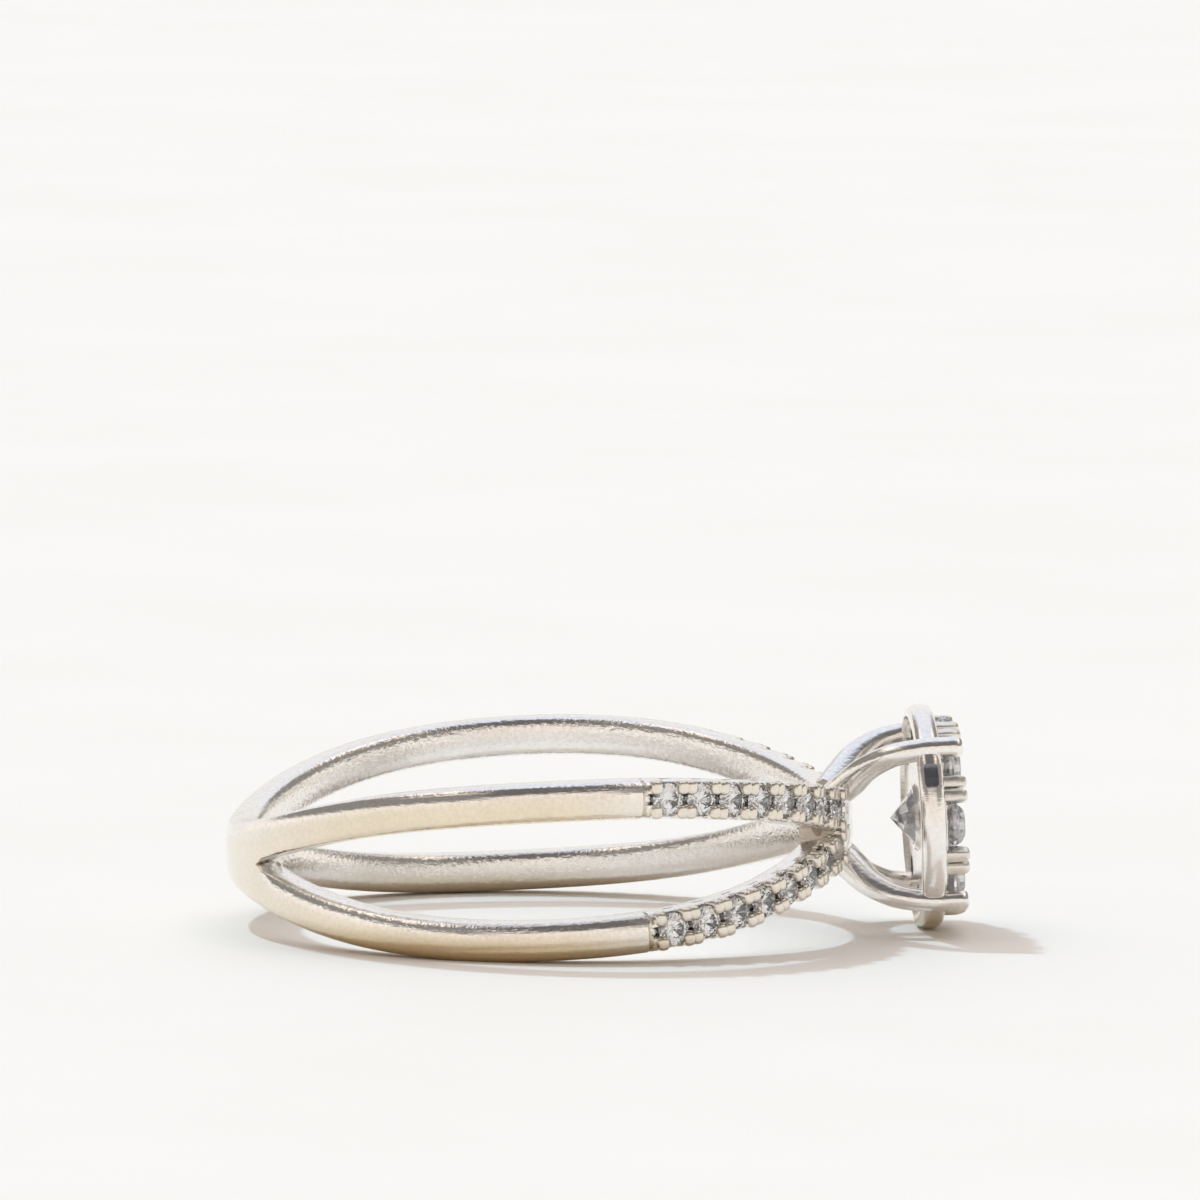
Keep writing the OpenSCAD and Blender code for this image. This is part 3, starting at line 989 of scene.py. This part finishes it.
def claw_half(shape, i, half):
    """Half of the split claw after side stone i."""
    rings = []
    for x, share in CLAW_STATIONS:
        phase = LUMP_PHASES[0] * x + LUMP_PHASES[1] * i + LUMP_PHASES[2] * half
        lump = LUMP * math.sin(phase) * (x > LUMP_FROM)
        ring = []
        for g in round_angles(CLAW_SIDES):
            c, s = rounded(g, CLAW_POWER)
            wider = 1 + 2 * lump * (s * half > 0)
            y = half * (CLAW_RADIUS + SLIT_HALF) + CLAW_RADIUS * share * s * wider
            z = CLAW_PLACE_R + (CLAW_RADIUS + CLAW_DEEPER) * (share * c + lump)
            ring.append(turned(x, y, z, (i + 0.5) * 360 / SIDE_COUNT))
        rings.append(ring)
    shape.loft(rings)


claws = Shape()
for i in range(SIDE_COUNT):
    for half in (-1, 1):
        claw_half(claws, i, half)
piece("split_claws", claws, CLAW_METAL, METAL_CREASE)

# Floor, two metres across
FLOOR_STOPS = [(0.3, (0.888, 0.834, 0.768)), (0.7, (0.908, 0.854, 0.792))]
FLOOR_GRAIN = (60.0, 6.0)
FLOOR_HALF = 1

material, graph, shader = new_material("pale_floor")
grain = graph.noise(graph.coordinates("Object"), *FLOOR_GRAIN)
graph.feed(shader.inputs["Base Color"], graph.ramp(grain, FLOOR_STOPS))
graph.feed(shader.inputs["Roughness"], 0.7)
graph.feed(shader.inputs["Specular IOR Level"], 0.2)
mesh = bpy.data.meshes.new("floor")
corners = [(-1, -1), (1, -1), (1, 1), (-1, 1)]
mesh.from_pydata([(FLOOR_HALF * x, FLOOR_HALF * y, 0) for x, y in corners], [], [(0, 1, 2, 3)])
mesh.materials.append(material)
floor = add_object("floor", mesh)

# Room round the ring. From the viewer's side over the ring to behind it: a pale wall, a dark ceiling, a
# large cool window that starts straight above, and a pale wall. To the left and right, from the ground up:
# a pale wall, a dark band and a warm ceiling.
VIEWER_WALL = (0.44, 0.40, 0.37)
OVERHEAD_STOPS = [
    (0.0, VIEWER_WALL), (0.06, VIEWER_WALL), (0.10, (0.075, 0.07, 0.065)), (0.39, (0.075, 0.072, 0.075)),
    (0.46, (0.39, 0.42, 0.485)), (0.92, (0.415, 0.42, 0.45)), (0.97, (0.44, 0.43, 0.42)),
    (1.0, (0.43, 0.42, 0.40))]
DARK_BAND = (0.13, 0.122, 0.115)
WARM_CEILING = (0.74, 0.65, 0.56)
SIDE_STOPS = [
    (0.0, (0.45, 0.425, 0.40)), (0.26, (0.49, 0.46, 0.425)), (0.35, DARK_BAND), (0.75, DARK_BAND),
    (0.86, WARM_CEILING), (1.0, WARM_CEILING)]
SIDE_BLEND = (0.28, 0.55)
ROOM_STRENGTH = 2.12

world = bpy.data.worlds.new("studio")
bpy.context.scene.world = world
graph = Graph(world)
background = graph.nodes["Background"]
direction = graph.coordinates("Generated")
arc = graph.vector_work("NORMALIZE", graph.mapping(direction, (0, 1, 1)), "Vector")
overhead = graph.ramp(graph.map_range(graph.along(arc, "Y"), -1.0, 1.0, "LINEAR"), OVERHEAD_STOPS)
at_sides = graph.ramp(graph.along(direction, "Z"), SIDE_STOPS)
sideways = graph.map_range(graph.calculate("ABSOLUTE", graph.along(direction, "X")), *SIDE_BLEND)
graph.feed(background.inputs["Color"], graph.mix(sideways, overhead, at_sides))
graph.feed(background.inputs["Strength"], ROOM_STRENGTH)


def sun(name, energy, spread_angle, colour, towards):
    """Light from far away that the metal doesn't mirror."""
    data = bpy.data.lights.new(name, "SUN")
    data.energy = energy
    data.angle = math.radians(spread_angle)
    data.color = colour
    obj = add_object(name, data)
    obj.rotation_euler = Vector(towards).to_track_quat("-Z", "Y").to_euler()
    obj.visible_glossy = False


# A small hard light from behind throws the shadows, and a wide one softens them
sun("key", 1.47, 3.5, (0.57, 0.816, 1.0), (0.285, -0.509, -0.784))
sun("fill", 1.04, 90, (1.0, 0.935, 0.92), (0.1, -0.62, -0.78))

# Camera: where the middle of the finger hole lies in the picture, and how the camera looks at it
PHOTO_PX = 1200
PX_PER_MM = 31.87
HOLE_PX = (543.5, 836.8)
AZIMUTH = math.radians(4.9)
ELEVATION = math.radians(5.87)
ROLL = math.radians(-0.8)
DISTANCE = 0.602
SENSOR = 36.0

hole = Vector((-shift, 0, lift)) * MM
forward = Vector((math.sin(AZIMUTH) * math.cos(ELEVATION), math.cos(AZIMUTH) * math.cos(ELEVATION),
                  -math.sin(ELEVATION)))
right = Vector((math.cos(AZIMUTH), -math.sin(AZIMUTH), 0))
up = right.cross(forward)
metres_per_px = MM / PX_PER_MM
aim = (hole + right * ((PHOTO_PX / 2 - HOLE_PX[0]) * metres_per_px)
       + up * ((HOLE_PX[1] - PHOTO_PX / 2) * metres_per_px))
camera_data = bpy.data.cameras.new("camera")
camera_data.sensor_width = SENSOR
camera_data.lens = SENSOR * DISTANCE / (PHOTO_PX * metres_per_px)
camera_data.clip_start = 0.01
camera = add_object("camera", camera_data)
look = Matrix((right, up, -forward)).transposed().to_4x4()
camera.matrix_world = Matrix.Translation(aim - forward * DISTANCE) @ look @ Matrix.Rotation(-ROLL, 4, "Z")
bpy.context.scene.camera = camera
bpy.context.scene.view_settings.view_transform = "Standard"
